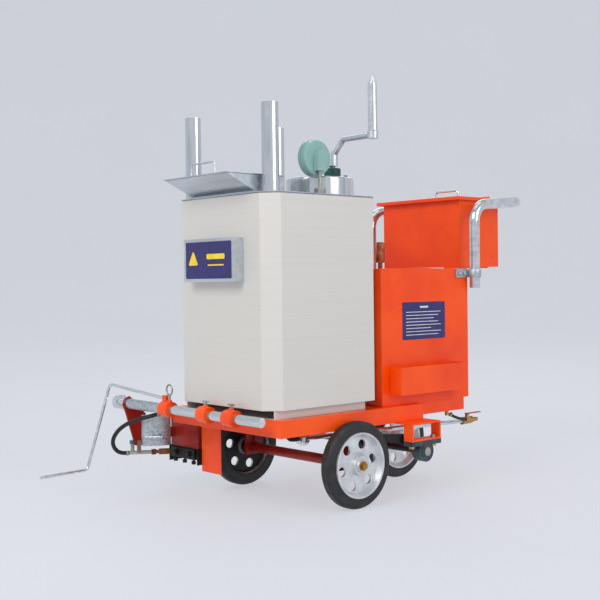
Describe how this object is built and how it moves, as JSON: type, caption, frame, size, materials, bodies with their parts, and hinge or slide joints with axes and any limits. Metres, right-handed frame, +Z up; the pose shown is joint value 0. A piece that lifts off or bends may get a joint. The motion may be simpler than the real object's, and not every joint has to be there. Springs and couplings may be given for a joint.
{
  "type": "line striping machine",
  "caption": "Hand-pushed thermoplastic road marking machine with a heated tank, crank stirrer, side marking shoe, storage box and bead box on a wheeled tube frame.",
  "frame": {"origin": "on the road, under the middle of the machine's bounding box without the two hoses", "axes": "+Z up, -Y towards the front of the machine (its direction of travel), +X to the operator's left, away from the marking shoe"},
  "size_m": [0.823, 1.4151, 1.234],
  "materials": {
    "orange_paint": "gloss",
    "maroon_paint": "satin",
    "casing_sheet": "satin",
    "bright_steel": "polished",
    "zinc": "satin",
    "dark_steel": "satin",
    "cast_rim": "satin",
    "tyre": "matte",
    "bearing_green": "painted",
    "bearing_grey": "painted",
    "pale_teal": "satin",
    "gear_steel": "machined",
    "brass": "satin",
    "copper_head": "heat stained",
    "red_plastic": "gloss",
    "teal_plastic": "gloss",
    "hose_rubber": "matte",
    "grip_sleeve": "satin",
    "wool": "fibrous",
    "fasteners": "zinc plated"
  },
  "bodies": {
    "root": {"frame_tubes": "orange_paint", "wheel_guard": "orange_paint", "axle_hangers": "maroon_paint", "front_axle": "maroon_paint", "frame_bolts": "fasteners", "rear_carrier": "orange_paint", "pillow_blocks": "bearing_grey", "plinth": "casing_sheet", "casing": "casing_sheet", "insulation": "wool", "inner_tank": "zinc", "top_plate": "casing_sheet", "chimneys": "bright_steel", "feed_chute": "zinc", "drum": "bright_steel", "crank_bearing": "bearing_green", "thermometer_case": "pale_teal", "thermometer_stem": "fasteners", "info_box": "zinc", "outlet_pipe": "bright_steel", "lower_box": "orange_paint", "side_tray": "orange_paint", "parked_torch": "copper_head", "bead_box": "orange_paint", "push_handle": "bright_steel", "handle_clamps": "zinc", "ring_clamps": "orange_paint", "gas_hose": "hose_rubber", "burner": "dark_steel", "gas_pipe": "bright_steel", "gas_valve": "brass"},
    "front_wheel_right": {"front_rim_right": "cast_rim", "front_tyre_right": "tyre"},
    "front_wheel_left": {"front_rim_left": "cast_rim", "front_tyre_left": "tyre"},
    "rear_fork": {"rear_fork": "dark_steel"},
    "rear_wheel": {"rear_rim": "cast_rim", "rear_tyre": "tyre"},
    "crank": {"crank_shaft": "gear_steel", "crank_arm": "zinc"},
    "crank_grip": {"crank_grip": "grip_sleeve"},
    "stirrer": {"stirrer": "gear_steel"},
    "feed_lid": {"feed_lid": "zinc"},
    "bead_lid": {"bead_lid": "orange_paint", "bead_lid_handle": "bright_steel"},
    "cross_bar": {"cross_bar": "bright_steel"},
    "shoe_arm": {"hanger_arm": "maroon_paint", "heat_shield": "zinc", "torch": "copper_head", "torch_hose": "hose_rubber"},
    "shoe": {"shoe_hopper": "maroon_paint", "shoe_base": "dark_steel"},
    "shoe_gate": {"shoe_gate": "dark_steel"},
    "guide_rod": {"guide_rod": "bright_steel"},
    "gas_lever": {"gas_lever": "red_plastic"},
    "torch_knob": {"torch_knob": "teal_plastic"},
    "ring_screw": {"ring_screw": "fasteners"},
    "middle_screw": {"middle_screw": "fasteners"},
    "right_screw": {"right_screw": "fasteners"},
    "outlet_lever": {"outlet_lever": "fasteners"}
  },
  "joints": [
    {"name": "front_wheel_right_spin", "type": "hinge", "parent": "root", "child": "front_wheel_right", "pos_m": [0.3695, -0.12444, 0.125], "axis": [1, 0, 0], "continuous": true},
    {"name": "front_wheel_left_spin", "type": "hinge", "parent": "root", "child": "front_wheel_left", "pos_m": [-0.1425, -0.12444, 0.125], "axis": [1, 0, 0], "continuous": true},
    {"name": "rear_fork_pivot", "type": "hinge", "parent": "root", "child": "rear_fork", "pos_m": [0.1135, 0.14056, 0.1362], "axis": [-1, 0, 0], "range_deg": [0, 12]},
    {"name": "rear_wheel_spin", "type": "hinge", "parent": "rear_fork", "child": "rear_wheel", "pos_m": [0.1135, 0.31256, 0.125], "axis": [1, 0, 0], "continuous": true},
    {"name": "crank_turn", "type": "hinge", "parent": "root", "child": "crank", "pos_m": [0.2255, -0.06799, 1], "axis": [0, 0, 1], "continuous": true},
    {"name": "grip_spin", "type": "hinge", "parent": "crank", "child": "crank_grip", "pos_m": [0.3955, -0.06799, 1.14], "axis": [0, 0, 1], "continuous": true},
    {"name": "stirrer_turn", "type": "hinge", "parent": "root", "child": "stirrer", "pos_m": [0.2185, -0.11244, 0.9], "axis": [0, 0, 1], "continuous": true},
    {"name": "feed_lid_hinge", "type": "hinge", "parent": "root", "child": "feed_lid", "pos_m": [0.1135, -0.28244, 0.948], "axis": [-1, 0, 0], "range_deg": [0, 95]},
    {"name": "bead_lid_hinge", "type": "hinge", "parent": "root", "child": "bead_lid", "pos_m": [0.1135, 0.63556, 0.927], "axis": [-1, 0, 0], "range_deg": [0, 100]},
    {"name": "cross_bar_slide", "type": "slide", "parent": "root", "child": "cross_bar", "axis": [-1, 0, 0], "range_m": [0, 0.1]},
    {"name": "shoe_arm_pivot", "type": "hinge", "parent": "cross_bar", "child": "shoe_arm", "pos_m": [-0.3345, -0.43444, 0.271], "axis": [-1, 0, 0], "range_deg": [0, 25]},
    {"name": "shoe_level", "type": "hinge", "parent": "shoe_arm", "child": "shoe", "pos_m": [-0.3225, -0.23544, 0.165], "axis": [-1, 0, 0], "range_deg": [-25, 0]},
    {"name": "gate_slide", "type": "slide", "parent": "shoe", "child": "shoe_gate", "axis": [0, 0, 1], "range_m": [0, 0.008]},
    {"name": "guide_rod_swing", "type": "hinge", "parent": "root", "child": "guide_rod", "pos_m": [-0.1415, -0.43044, 0.302], "axis": [-0.9886, -0.1082, 0.1045], "range_deg": [0, 80]},
    {"name": "gas_lever_turn", "type": "hinge", "parent": "root", "child": "gas_lever", "pos_m": [0.2785, 0.47956, 0.208], "axis": [0, 0, 1], "range_deg": [0, 90]},
    {"name": "torch_knob_turn", "type": "hinge", "parent": "shoe_arm", "child": "torch_knob", "pos_m": [-0.347, -0.41744, 0.146], "axis": [0, 0, 1], "range_deg": [0, 270]},
    {"name": "ring_screw_turn", "type": "hinge", "parent": "root", "child": "ring_screw", "pos_m": [-0.1085, -0.43444, 0.3], "axis": [0, 0, 1], "continuous": true},
    {"name": "middle_screw_turn", "type": "hinge", "parent": "root", "child": "middle_screw", "pos_m": [0.073, -0.43444, 0.3], "axis": [0, 0, 1], "continuous": true},
    {"name": "right_screw_turn", "type": "hinge", "parent": "root", "child": "right_screw", "pos_m": [0.1935, -0.43444, 0.3], "axis": [0, 0, 1], "continuous": true},
    {"name": "outlet_lever_turn", "type": "hinge", "parent": "root", "child": "outlet_lever", "pos_m": [-0.1365, -0.25944, 0.372], "axis": [0, 0, 1], "range_deg": [0, 90]}
  ],
  "couplings": [
    {"joint": "stirrer_turn", "follows": "crank_turn", "ratio": -0.5},
    {"joint": "shoe_level", "follows": "shoe_arm_pivot", "ratio": -1}
  ]
}
